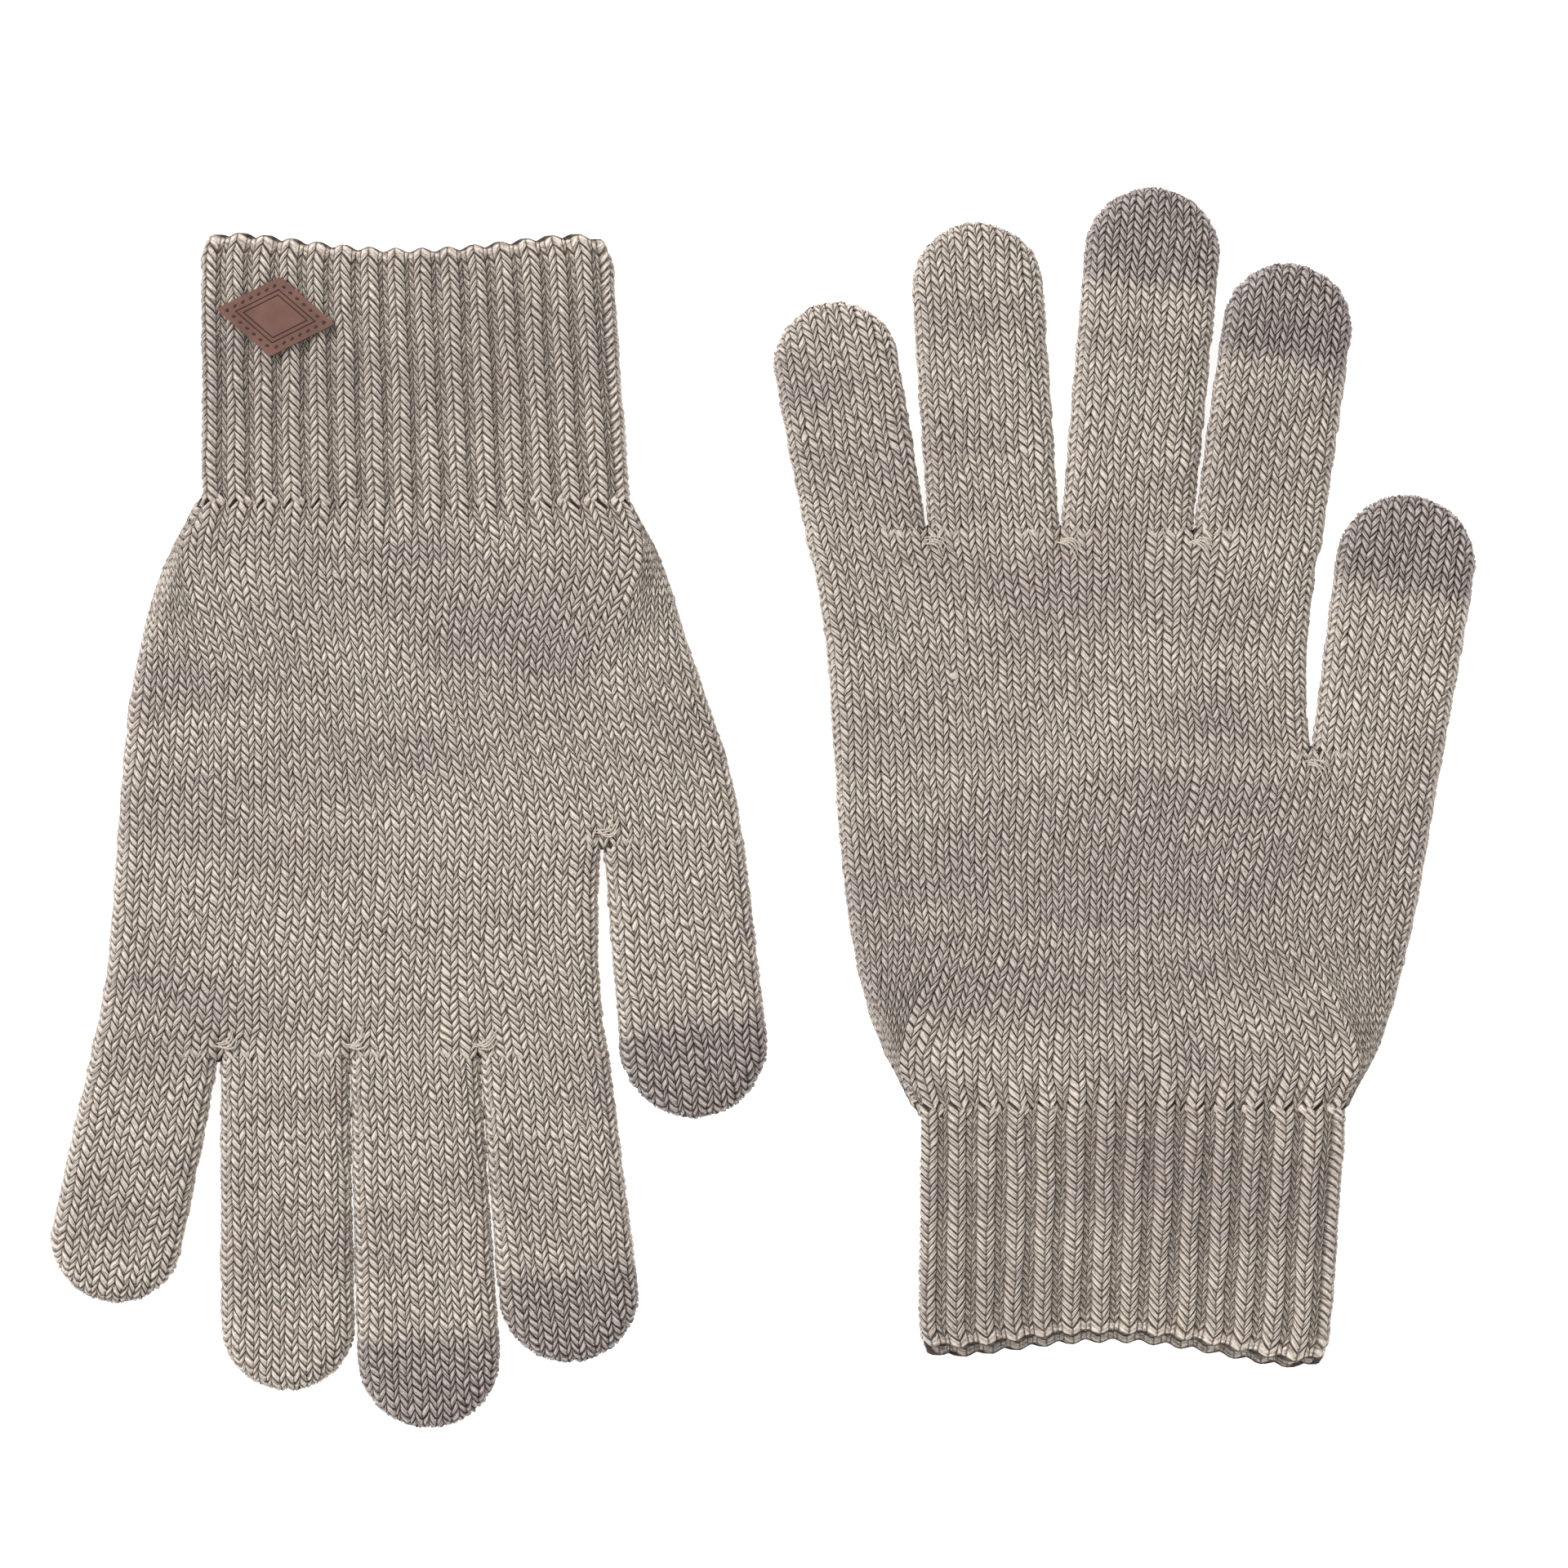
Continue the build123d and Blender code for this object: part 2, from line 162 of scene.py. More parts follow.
class Finger:
    """Where one finger tube lies, read from its nodes and its two fold lines."""

    def __init__(self, glove, name):
        self.glove, self.name = glove, name
        self.wales = WALES_IN_FINGER[name]
        root = glove.local(JOINTS[f"{glove.name}_{name}_root_fold"]["pos_m"])
        middle = glove.local(JOINTS[f"{glove.name}_{name}_middle_fold"]["pos_m"])
        self.lean = math.atan2(middle[0] - root[0], middle[1] - root[1])
        self.start_v = glove.thumb_level if name == "thumb" else glove.finger_level
        self.start_x = root[0] - (root[1] - self.start_v) * math.tan(self.lean)
        self.conductive = f"{glove.name}_{name}_tip" in frame["nodes"]
        last = f"{glove.name}_{name}_" + ("tip" if self.conductive else "end")
        low, high = glove.local_box(last)
        slope = math.tan(self.lean)
        side, sign = (high[0], 1) if self.lean > 0 else (low[0], -1)
        # the round tip's centre: on the finger's line, as far from its side as from its end
        reach = side - self.start_x - sign * high[1] + self.start_v * slope
        centre_v = reach / (slope - sign)
        self.tip_radius = high[1] - centre_v
        self.tip_start = (centre_v - self.start_v) / math.cos(self.lean)
        self.length = self.tip_start + self.tip_radius
        just_past_root = glove.world(0, root[1] + 1 * MM)[1]
        left, right = CadMesh(f"{glove.name}_{name}_base").span(just_past_root)
        self.root_radius = (right - left) / 2 * math.cos(self.lean)


class Glove:
    """One glove's plan, read from the frame."""

    def __init__(self, name, seed):
        self.name = name
        wrist = JOINTS[f"{name}_wrist_fold"]
        self.forward = 1 if wrist["axis"][0] > 0 else -1
        self.origin = np.array(wrist["pos_m"][:2])
        self.uneven = Unevenness(seed)
        self.split = 0.57 if self.forward > 0 else 0.43  # where a stitch's two legs meet in its wale
        self.thumb_level = self.local_box(f"{name}_upper_palm")[0][1]
        fold = self.local(JOINTS[f"{name}_middle_root_fold"]["pos_m"])[1]
        thumb_fold = self.local(JOINTS[f"{name}_thumb_root_fold"]["pos_m"])[1]
        self.finger_level = fold - (thumb_fold - self.thumb_level)
        self.low_courses = round(self.thumb_level / COURSE)
        self.courses = self.low_courses + round((self.finger_level - self.thumb_level) / COURSE)
        self.cuff_length = -self.local_box(f"{name}_cuff")[0][1]
        self.cuff_courses = round(self.cuff_length / COURSE)
        self.cuff_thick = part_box(f"{name}_cuff")[1].z
        self.hand_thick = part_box(f"{name}_lower_palm")[1].z
        self.ribs = CUFF_RIBS[name]
        self.fingers = {finger: Finger(self, finger) for finger in WALES_IN_FINGER}
        self.lower_edges = self.outline("lower_palm", 0.5 * MM, self.thumb_level - 0.3 * MM)
        self.upper_edges = self.outline(
            "upper_palm", self.thumb_level + 0.4 * MM, self.finger_level - 0.3 * MM
        )
        self.cuff_edges = self.outline("cuff", 4 * MM - self.cuff_length, -0.4 * MM)
        self.lower_edges[0, 1:] = self.cuff_edges[-1, 1:]  # the hand starts as wide as the cuff ends
        for table in (self.lower_edges, self.upper_edges, self.cuff_edges):
            table[:, 1:] += LOOPS_OUT, -LOOPS_OUT

    def local(self, point):
        return np.array([point[0] - self.origin[0], (point[1] - self.origin[1]) * self.forward])

    def world(self, x, v):
        return x + self.origin[0], v * self.forward + self.origin[1]

    def local_box(self, node):
        low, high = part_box(node)
        v = sorted((c - self.origin[1]) * self.forward for c in (low.y, high.y))
        return (low.x - self.origin[0], v[0]), (high.x - self.origin[0], v[1])

    def outline(self, node, first, last):
        """A table of a node's left and right edges against v."""
        mesh = CadMesh(f"{self.name}_{node}")
        edges = []
        for v in np.arange(first, last, SLICE):
            left, right = mesh.span(self.world(0, v)[1])
            edges.append((v, left - self.origin[0], right - self.origin[0]))
        return np.array(edges)

    def level(self, course):
        """v of a course of the palm, counted from the wrist."""
        return np.interp(
            course,
            [-1, 0, self.low_courses, self.courses, self.courses + 3],
            [-COURSE, 0, self.thumb_level, self.finger_level, self.finger_level + 3 * COURSE],
        )


GLOVES = [Glove("left", 11), Glove("right", 29)]

# ---------------------------------------------------------------- the knit's own shape

TOP_SHARES = (0.0, 0.28, 0.72)  # columns of faces in a leg, on the face that shows
UNDER_SHARES = (0.0, 0.5)  # the same on the face that lies down


class Columns:
    """The columns of a tube, round from its left edge over the top and back underneath.

    ribs_from is the wale at which a run of ribs starts, a sunk column and a raised one in turn.
    """

    def __init__(self, wales, split, ribs_from=0, ribs=0):
        place, leg, under = [], [], []
        for side, shares in ((0, TOP_SHARES), (1, UNDER_SHARES)):
            for wale in range(wales):
                cut = split if side == 0 else 1 - split
                for half, (start, width) in enumerate(((0, cut), (cut, 1 - cut))):
                    for share in shares:
                        place.append(wale + start + width * share)
                        leg.append(wale + (half + share) / 2)
                        under.append(side)
        place.append(wales)
        leg.append(wales)
        under.append(1)
        self.count, self.wales = len(place), wales
        self.under = np.array(under)
        place = np.array(place)
        # on the underside the columns run back from right to left
        self.place = np.where(self.under == 1, wales - place, place)
        self.leg = np.where(self.under == 1, 2 * wales - np.array(leg), np.array(leg))
        share = self.place - np.floor(self.place + 1e-9)
        self.rise = np.where(share < split, (split - share) / split, (share - split) / (1 - split))
        boundary = np.isclose(share, 0, atol=1e-6)
        centre = np.isclose(share, split, atol=1e-6)
        self.plump = np.where(boundary, 0.0, np.where(centre, 0.3, 1.0))
        wale = np.floor(self.place + 1e-9) - ribs_from
        in_ribs = (wale >= 0) & (wale < 2 * ribs)
        sunk = in_ribs & (wale % 2 == 0)
        edge = in_ribs & ~sunk  # a raised column, whose sides slope down to its sunk neighbours
        from_edge = np.minimum(share, 1 - share)
        shoulder = np.where(edge, np.clip(0.8 - 4.5 * from_edge, 0, 1), 0)
        self.sink = np.where(sunk, 0.8 + 0.4 * from_edge, shoulder)
        self.sunk = np.where(sunk & ~boundary, 1.0, 0.0)


def rib_share(wale, ribs, purl):
    """Where a wale of the ribs lies, from 0 to 1 across them."""
    pair = np.floor(wale / 2)
    rest = wale - 2 * pair
    within = np.where(rest < 1, rest * purl, purl + (rest - 1) * (1 - purl))
    return (pair + within) / ribs


def rows_of_tube(first, last):
    """The rows of a tube: over the outside from first to last course, back along the inside."""
    outside = [(course, 0) for course in np.arange(first, last + 1e-6, 1 / STEPS)]
    inner = [(course, 1) for course in np.linspace(last, first, max(3, int((last - first) / 4)))]
    return np.array(outside + inner + [outside[0]])


def rolled(distance, roll):
    """Edge roll: how far in from the outline, how high, and the outward share of the normal."""
    angle = np.clip(distance / roll, 0, math.pi / 2)
    inward = np.where(distance < roll * math.pi / 2, roll * (1 - np.cos(angle)),
                      roll + distance - roll * math.pi / 2)
    return inward, np.sin(angle), np.cos(angle)


EXTRA = math.pi / 2 - 1  # sheet taken up by each rolled edge, in rolls


def calm_between(course, first, last):
    """0 at a piece's two ends, where it meets its neighbours, and 1 between them."""
    return smooth((course - first) / CALM_COURSES) * smooth((last - course) / CALM_COURSES)


def grid_mesh(name, columns, rows):
    """A plain sheet with a vertex for every column and row."""
    bm = bmesh.new()
    bmesh.ops.create_grid(bm, x_segments=columns - 1, y_segments=rows - 1, size=0.5)
    mesh = bpy.data.meshes.new(name)
    bm.to_mesh(mesh)
    bm.free()
    co = points_of(mesh)
    column = np.rint((co[:, 0] + 0.5) * (columns - 1)).astype(int)
    row = np.rint((co[:, 1] + 0.5) * (rows - 1)).astype(int)
    return mesh, column, row


def set_uv(mesh, name, u, v):
    """A UV map from one pair of values per vertex."""
    layer = mesh.uv_layers.new(name=name, do_init=False)
    loops = np.empty(len(mesh.loops), int)
    mesh.loops.foreach_get("vertex_index", loops)
    layer.data.foreach_set("uv", np.stack([u[loops], v[loops]], 1).ravel())


def linked(name, data):
    """A new object of the scene, of this name."""
    made = bpy.data.objects.new(name, data)
    bpy.context.scene.collection.objects.link(made)
    return made


def shade_smooth(bm):
    for face in bm.faces:
        face.smooth = True


def finish_tube(mesh):
    """Close the tube's seams and shade it smooth."""
    bm = bmesh.new()
    bm.from_mesh(mesh)
    bmesh.ops.remove_doubles(bm, verts=bm.verts, dist=1e-6)
    bmesh.ops.dissolve_degenerate(bm, edges=bm.edges, dist=1e-7)
    shade_smooth(bm)
    bm.to_mesh(mesh)
    bm.free()
    return linked(mesh.name, mesh)


def knitted(name, glove, columns, rows, place, calm, depth=None, flatten=None, tipped=None):
    """A closed tube of knit.

    place(wale, course, course_row, under, layer) gives, for each vertex, the ground point in
    plan, its height and its normal; the stitches then stand on that ground. calm(course) is 0
    where the knit runs on into the next piece, depth(course) is how far the ribs sink there,
    flatten(course) how much of their climb the stitches' legs keep, and tipped(course) how much
    of the yarn there is the conductive one.
    """
    mesh, column, row = grid_mesh(name, columns.count, len(rows))
    course_row, layer = rows[row, 0], rows[row, 1]
    phase = course_row - np.floor(course_row + 1e-9)
    wale, under = columns.place[column], columns.under[column]
    uneven = glove.uneven
    quiet = calm(course_row) * np.clip(np.minimum(wale, columns.wales - wale) / 1.5, 0, 1)
    # each stitch sits a little off its place, and so do whole groups of them
    shift_w = uneven.at(0, wale * 2, course_row) * 0.09
    shift_w = shift_w + uneven.at(1, wale * 0.5, course_row * 0.2) * 0.14
    shift_c = uneven.at(2, wale * 2, course_row * 0.9) * 0.14
    shift_c = shift_c + uneven.at(3, wale * 0.35, course_row * 0.25) * 0.3
    rise = columns.rise[column] * LEG_RISE
    if flatten is not None:
        rise = rise * flatten(course_row)
    course = course_row + rise + shift_c * quiet
    point, height, normal = place(wale + shift_w * quiet, course, course_row, under, layer)
    bulge = np.sqrt(np.clip(1 - (2 * phase - 1) ** 2, 0, 1))
    vary = 1 + 0.35 * uneven.at(4, wale * 2, course_row * 0.8)
    lift = RELIEF * columns.plump[column] * (0.3 + 0.7 * bulge) * vary
    if depth is not None:
        deep = depth(course_row)
        lift = lift * (1 - 0.6 * columns.sunk[column] * deep / RIB_DEPTH) - columns.sink[column] * deep
    lift = np.where(layer == 0, lift, 0)
    x, v, z = point[0] + normal[0] * lift, point[1] + normal[1] * lift, height + normal[2] * lift
    wx, wy = glove.world(x, v)
    mesh.vertices.foreach_set("co", np.stack([wx, wy, z], 1).ravel())
    set_uv(mesh, "knit", columns.leg[column], course_row)
    order = np.arange(len(rows)) / (len(rows) - 1)
    set_uv(mesh, "OFBake", column / (columns.count - 1), order[row])
    # the sunk share also darkens these columns in the yarn's colour: painted shade in the ribs' recesses
    sunk = mesh.attributes.new("sunk", "FLOAT", "POINT")
    share = columns.sunk[column] * (depth(course_row) / RIB_DEPTH if depth is not None else 0)
    sunk.data.foreach_set("value", np.asarray(share, dtype=np.float32))
    if tipped is not None:
        shade = mesh.attributes.new("tipped", "FLOAT", "POINT")
        shade.data.foreach_set("value", np.asarray(tipped(course_row), dtype=np.float32))
    if glove.forward > 0:
        mesh.flip_normals()
    return finish_tube(mesh)


def undulate(glove, x, v):
    """Slow rise and fall of cloth that lies loose."""
    return 0.45 * MM * glove.uneven.at(5, x / (17 * MM) + 40, v / (23 * MM) + 40) + (
        0.2 * MM * glove.uneven.at(6, x / (7 * MM) + 40, v / (9 * MM) + 40)
    )


def slab_point(left, right, share, thick, under, layer):
    """Ground of a flat tube between two edges: share runs 0 to 1 from left to right.

    Gives x, the height over the tube's middle, the normal's x and z, and how far up the
    rolled edge the point lies, from 0 at the side to 1 on the flat.
    """
    inset = np.where(layer == 1, WALL, 0.0)
    left, right = left + inset, right - inset
    roll = ROLL - 0.6 * inset
    half = thick / 2 - inset
    sheet = right - left + 2 * EXTRA * roll
    along = share * sheet
    from_edge = np.minimum(along, sheet - along)
    inward, high, out = rolled(from_edge, roll)
    side = np.where(along * 2 < sheet, -1.0, 1.0)
    x = np.where(side < 0, left + inward, right - inward)
    sign = np.where(under == 1, -1.0, 1.0)
    return x, sign * high * half, side * out, sign * high, high


def hand_thickness(glove, v):
    """The cuff's thickness at the wrist eases down to the hand's."""
    cuff, hand = glove.cuff_thick, glove.hand_thick
    return hand + (cuff - hand) * (1 - smooth(v / CUFF_EASE))


def crotch_grooves(x, v, crotches, level):
    """1 on open fabric, 0 along a crotch, where the two layers draw together."""
    share = np.ones_like(x)
    for crotch in crotches:
        gap = np.clip(np.abs(x - crotch) / ROLL, 0, 1)
        share = np.minimum(share, np.sqrt(1 - (1 - gap) ** 2))
    return 1 - smooth((v - level + CROTCH_REACH) / CROTCH_REACH) * (1 - share)


def crotch_between(a, b):
    """Middle of the slit between two neighbouring fingers' roots."""
    return ((a.start_x + a.root_radius) + (b.start_x - b.root_radius)) / 2


def finger_crotches_of(glove):
    """The x of the three slits between the four fingers."""
    fingers = list(glove.fingers.values())[:4]
    return [crotch_between(a, b) for a, b in zip(fingers, fingers[1:])]


def seam_share(edges, level, wales, anchors):
    """Shares across a tube, wale by wale, that meet the next piece's wales at these anchors."""
    left = np.interp(level, edges[:, 0], edges[:, 1])
    right = np.interp(level, edges[:, 0], edges[:, 2])
    sheet = right - left + 2 * EXTRA * ROLL
    at = [0.0] + [wale for wale, x in anchors] + [wales]
    share = [0.0] + [(x - left + EXTRA * ROLL) / sheet for wale, x in anchors] + [1.0]
    return np.array(at), np.array(share)


def finger_anchors(finger, first):
    """Where a finger's inner wales start, counted in the palm's wales from first."""
    sheet_radius = finger.root_radius - LOOPS_OUT + EXTRA * ROLL
    inner = range(4, finger.wales - 3)  # the outer ones would crowd against the next finger's
    return [(first + w, finger.start_x + (2 * w / finger.wales - 1) * sheet_radius) for w in inner]


def palm_place(glove, edges, share_at, crotches, level):
    """Where the palm's fabric lies; crotches draw in towards its far end."""

    def place(wale, course, course_row, under, layer):
        v = glove.level(course)
        tuck = np.where((layer == 0) & (course_row < 0), PALM_TUCK, 0)
        left = np.interp(v, edges[:, 0], edges[:, 1]) + tuck
        right = np.interp(v, edges[:, 0], edges[:, 2]) - tuck
        thick = hand_thickness(glove, v) - 2 * RELIEF
        share = share_at(wale, v)
        x, z, nx, nz, high = slab_point(left, right, share, thick, under, layer)
        groove = crotch_grooves(x, v, crotches, level)
        # small pleats where the cuff gathers the hand's fabric
        ahead = np.clip(v, 0, None) / (9 * MM)
        gather = ahead * np.exp(1 - ahead)
        pleat = 0.65 * MM * gather * glove.uneven.at(7, x / (5.5 * MM) + 40, v / (30 * MM) + 40)
        soft = np.where(under == 1, UNDER_FOLLOWS, 1.0) * high * groove
        z = z * groove + (undulate(glove, x, v) + pleat - tuck) * soft
        middle = glove.hand_thick / 2 + (thick + 2 * RELIEF - glove.hand_thick) / 2
        return (x, v), middle + z, (nx, 0 * nx, nz)

    return place


def make_palm(glove):
    """The heel up to the thumb's crotch, and the back from there to the fingers' crotches."""
    low, high, across = glove.low_courses, glove.courses, WALES_ACROSS_PALM
    little, ring, middle, index, thumb = glove.fingers.values()
    finger_crotches = finger_crotches_of(glove)
    thumb_crotch = glove.upper_edges[0, 2]
    all_wales = across + thumb.wales
    first = (all_wales - 2 * glove.ribs) // 2
    side_share = 0.012  # of the sheet's width, at the wrist, for the wales outside the ribs

    upper_left, upper_right = glove.upper_edges[0, 1], glove.upper_edges[0, 2]
    pitch = (upper_right - upper_left + 2 * EXTRA * ROLL) / across
    anchors = [(w, upper_left - EXTRA * ROLL + w * pitch) for w in range(2, across - 1)]
    anchors += finger_anchors(thumb, across)
    low_at, low_share = seam_share(glove.lower_edges, glove.thumb_level, all_wales, anchors)

    def lower_share(wale, v):
        purl = 0.5 - (0.5 - PURL_SHARE) * (1 - smooth(v / RIBS_FADE))
        ribbed = side_share + (1 - 2 * side_share) * rib_share(wale - first, glove.ribs, purl)
        before = side_share * wale / first
        after = 1 - side_share * (all_wales - wale) / (all_wales - first - 2 * glove.ribs)
        wrist = np.where(wale > first + 2 * glove.ribs, after, ribbed)
        wrist = np.where(wale < first, before, wrist)
        even = wale / all_wales
        share = wrist + (even - wrist) * smooth(v / WALES_SPREAD)
        seam = np.interp(wale, low_at, low_share)
        towards_thumb = smooth((v - THUMB_FADE_FROM) / (glove.thumb_level - THUMB_FADE_FROM))
        return share + (seam - share) * towards_thumb

    high_anchors = []
    for finger, first_wale in ((little, 0), (ring, 8), (middle, 17), (index, 25)):
        high_anchors += finger_anchors(finger, first_wale)
    high_at, high_share = seam_share(glove.upper_edges, glove.finger_level, across, high_anchors)

    def upper_share(wale, v):
        even = wale / across
        seam = np.interp(wale, high_at, high_share)
        towards_fingers = smooth((v - glove.finger_level + FINGERS_FADE) / FINGERS_FADE)
        return even + (seam - even) * towards_fingers

    lower = knitted(
        f"{glove.name}_hand_heel_knit",
        glove,
        Columns(all_wales, glove.split, first, glove.ribs),
        rows_of_tube(-1, low),
        palm_place(glove, glove.lower_edges, lower_share, [thumb_crotch], glove.thumb_level),
        calm=lambda course: calm_between(course, 0, low),
        depth=lambda course: RIB_DEPTH * (1 - smooth(course / RIBS_FLATTEN)),
    )
    upper = knitted(
        f"{glove.name}_hand_back_knit",
        glove,
        Columns(across, glove.split),
        rows_of_tube(low - 1, high),
        palm_place(glove, glove.upper_edges, upper_share, finger_crotches, glove.finger_level),
        calm=lambda course: calm_between(course, low, high),
    )
    return lower, upper


def finger_place(finger):
    """Where a finger's fabric lies: along its line, then round over its tip."""
    glove = finger.glove

    def place(wale, course, course_row, under, layer):
        inset = np.where(layer == 1, WALL, 0.0)
        t = course * COURSE
        turn = finger.lean * smooth(t / FINGER_TURN)
        share = np.clip(t / finger.tip_start, 0, 1)
        tuck = np.where((layer == 0) & (course_row < 0), FINGER_TUCK, 0)
        taper = (finger.tip_radius - finger.root_radius) * share
        radius = finger.root_radius - LOOPS_OUT + taper - inset
        roll = ROLL - 0.6 * inset
        half = glove.hand_thick / 2 - RELIEF - inset - tuck
        sheet_radius = radius + EXTRA * roll
        s = (2 * wale / finger.wales - 1) * sheet_radius
        beyond = np.clip(t - finger.tip_start, 0, None)
        far = np.maximum(np.sqrt(s**2 + beyond**2), 1e-9)
        outside = far >= sheet_radius
        straight = beyond <= 0
        inward, high, out = rolled(np.clip(sheet_radius - far, 0, None), roll)
        flat = radius - inward
        dx, dt = s / far, beyond / far
        across = np.where(straight, np.sign(s) * flat, dx * flat)
        ahead = np.where(straight, 0, dt * flat)
        # columns past the round tip close up on its edge, row by row
        row_t = (course_row + LEG_RISE / 2) * COURSE
        edge_t = np.clip(row_t - finger.tip_start, 0, sheet_radius) * radius / sheet_radius
        edge_x = np.sqrt(np.clip(radius**2 - edge_t**2, 0, None)) * np.sign(s)
        across = np.where(outside, edge_x, across)
        ahead = np.where(outside, edge_t, ahead)
        high = np.where(outside, 0, high)
        body = np.minimum(np.where(outside, row_t, t), finger.tip_start)
        total = body + ahead
        x = finger.start_x + total * math.sin(finger.lean) + across * np.cos(turn)
        v = finger.start_v + total * math.cos(finger.lean) - across * np.sin(turn)
        sign = np.where(under == 1, -1.0, 1.0)
        nx = out * np.where(straight, np.sign(s), dx)
        nv = out * np.where(straight, 0, dt)
        soft = np.where(under == 1, UNDER_FOLLOWS, 1.0) * high
        z = sign * high * half + undulate(glove, x, v) * soft
        kept = np.where(outside, 0.0, 1.0)
        normal = (
            (nx * np.cos(turn) + nv * math.sin(finger.lean)) * kept,
            (nv * math.cos(finger.lean) - nx * np.sin(turn)) * kept,
            sign * high * kept,
        )
        return (x, v), glove.hand_thick / 2 + z, normal

    return place


def make_finger(finger):
    """A finger's pieces: its root, its end or middle, and its conductive tip if it has one."""
    glove = finger.glove
    columns = Columns(finger.wales, glove.split)
    place = finger_place(finger)
    sheet_length = finger.tip_start + finger.tip_radius + (EXTRA + 0.2) * ROLL
    last = math.ceil(sheet_length / COURSE * STEPS) / STEPS
    tip_course = round((finger.length - CONDUCTIVE) / COURSE)
    stem = f"{glove.name}_{finger.name}"

    def calm(course):
        return smooth(course / CALM_COURSES)

    def tipped(course):
        return smooth((course - tip_course + 2.6) / TIP_FADE)

    def tube(name, first, last, tipped=None):
        rows = rows_of_tube(first, last)
        return knitted(name, glove, columns, rows, place, calm, tipped=tipped)

    made = {"base": tube(f"{stem}_root_knit", -1, LAST_BASE_COURSE)}
    if finger.conductive:
        made["end"] = tube(f"{stem}_middle_knit", LAST_BASE_COURSE, tip_course, tipped)
        made["tip"] = tube(f"{stem}_conductive_knit", tip_course, last, tipped)
    else:
        made["end"] = tube(f"{stem}_end_knit", LAST_BASE_COURSE, last)
    return made


def cuff_place(glove):
    """Where the cuff's fabric lies; its mouth is bowed and finely scalloped by its ribs."""
    edges = glove.cuff_edges

    def mouth_level(share, under):
        top, bottom = MOUTH[glove.name]
        corner, lower, dip = (np.where(under == 1, b, a) for a, b in zip(top, bottom))
        bow = (1 - (2 * share - 1) ** 2) ** 2
        from_corner = np.minimum(share, 1 - share)
        scallop = 0.45 * MM * np.cos(2 * math.pi * (share * glove.ribs - (1 + PURL_SHARE) / 2))
        return corner + lower * share - dip * bow - 3.2 * MM * np.exp(-from_corner / 0.035) + scallop

    def place(wale, course, course_row, under, layer):
        share = rib_share(wale, glove.ribs, PURL_SHARE)
        length = mouth_level(np.clip(share, 0, 1), under)
        v = course / glove.cuff_courses * length
        from_mouth = (course + glove.cuff_courses) * COURSE
        draw_in = MOUTH_DRAW_IN * (1 - smooth(from_mouth / (4.5 * MM)))
        left = np.interp(v, edges[:, 0], edges[:, 1]) + draw_in
        right = np.interp(v, edges[:, 0], edges[:, 2]) - draw_in
        lip = MOUTH_LIP * np.exp(-np.clip(from_mouth, 0, None) / (0.9 * MM)) * np.where(layer == 0, 1, 0)
        thick = glove.cuff_thick - 2 * RELIEF - 2 * lip
        x, z, nx, nz, high = slab_point(left, right, share, thick, under, layer)
        z = z + undulate(glove, x, v) * np.where(under == 1, UNDER_FOLLOWS, 1.0) * high
        return (x, v), glove.cuff_thick / 2 + z, (nx, 0 * nx, nz)

    return place


def make_cuff(glove):
    first = -glove.cuff_courses
    return knitted(
        f"{glove.name}_cuff_rib_knit",
        glove,
        Columns(2 * glove.ribs, glove.split, 0, glove.ribs),
        rows_of_tube(first, 0),
        cuff_place(glove),
        calm=lambda course: 0.6 * calm_between(course, first, 0),
        depth=lambda course: RIB_DEPTH * (0.45 + 0.55 * smooth((course - first) / 1.5)),
        flatten=lambda course: smooth((course - first) / 1.4),
    )


# ---------------------------------------------------------------- shader arithmetic


class Value:
    """A number in a material: arithmetic on it adds the nodes that work it out."""

    def __init__(self, shader, socket):
        self.shader, self.socket = shader, socket

    def maths(self, operation, *others, swapped=False):
        inputs = [self, *others]
        if swapped:
            inputs.reverse()
        return self.shader.node("ShaderNodeMath", {"operation": operation}, dict(enumerate(inputs)))

    def __add__(self, other):
        return self.maths("ADD", other)

    __radd__ = __add__

    def __sub__(self, other):
        return self.maths("SUBTRACT", other)

    def __rsub__(self, other):
        return self.maths("SUBTRACT", other, swapped=True)

    def __mul__(self, other):
        return self.maths("MULTIPLY", other)

    def __pow__(self, other):
        return self.maths("POWER", other)

    def part(self):
        return self.maths("FRACT")

    def sine(self):
        return self.maths("SINE")

    def at_least(self, other):
        return self.maths("MAXIMUM", other)

    def ramp(self, low, high, to_low=0.0, to_high=1.0):
        """A smooth step from to_low to to_high as this goes from low to high."""
        settings = {"interpolation_type": "SMOOTHSTEP", "clamp": True}
        inputs = {"Value": self, "From Min": low, "From Max": high, "To Min": to_low, "To Max": to_high}
        return self.shader.node("ShaderNodeMapRange", settings, inputs)


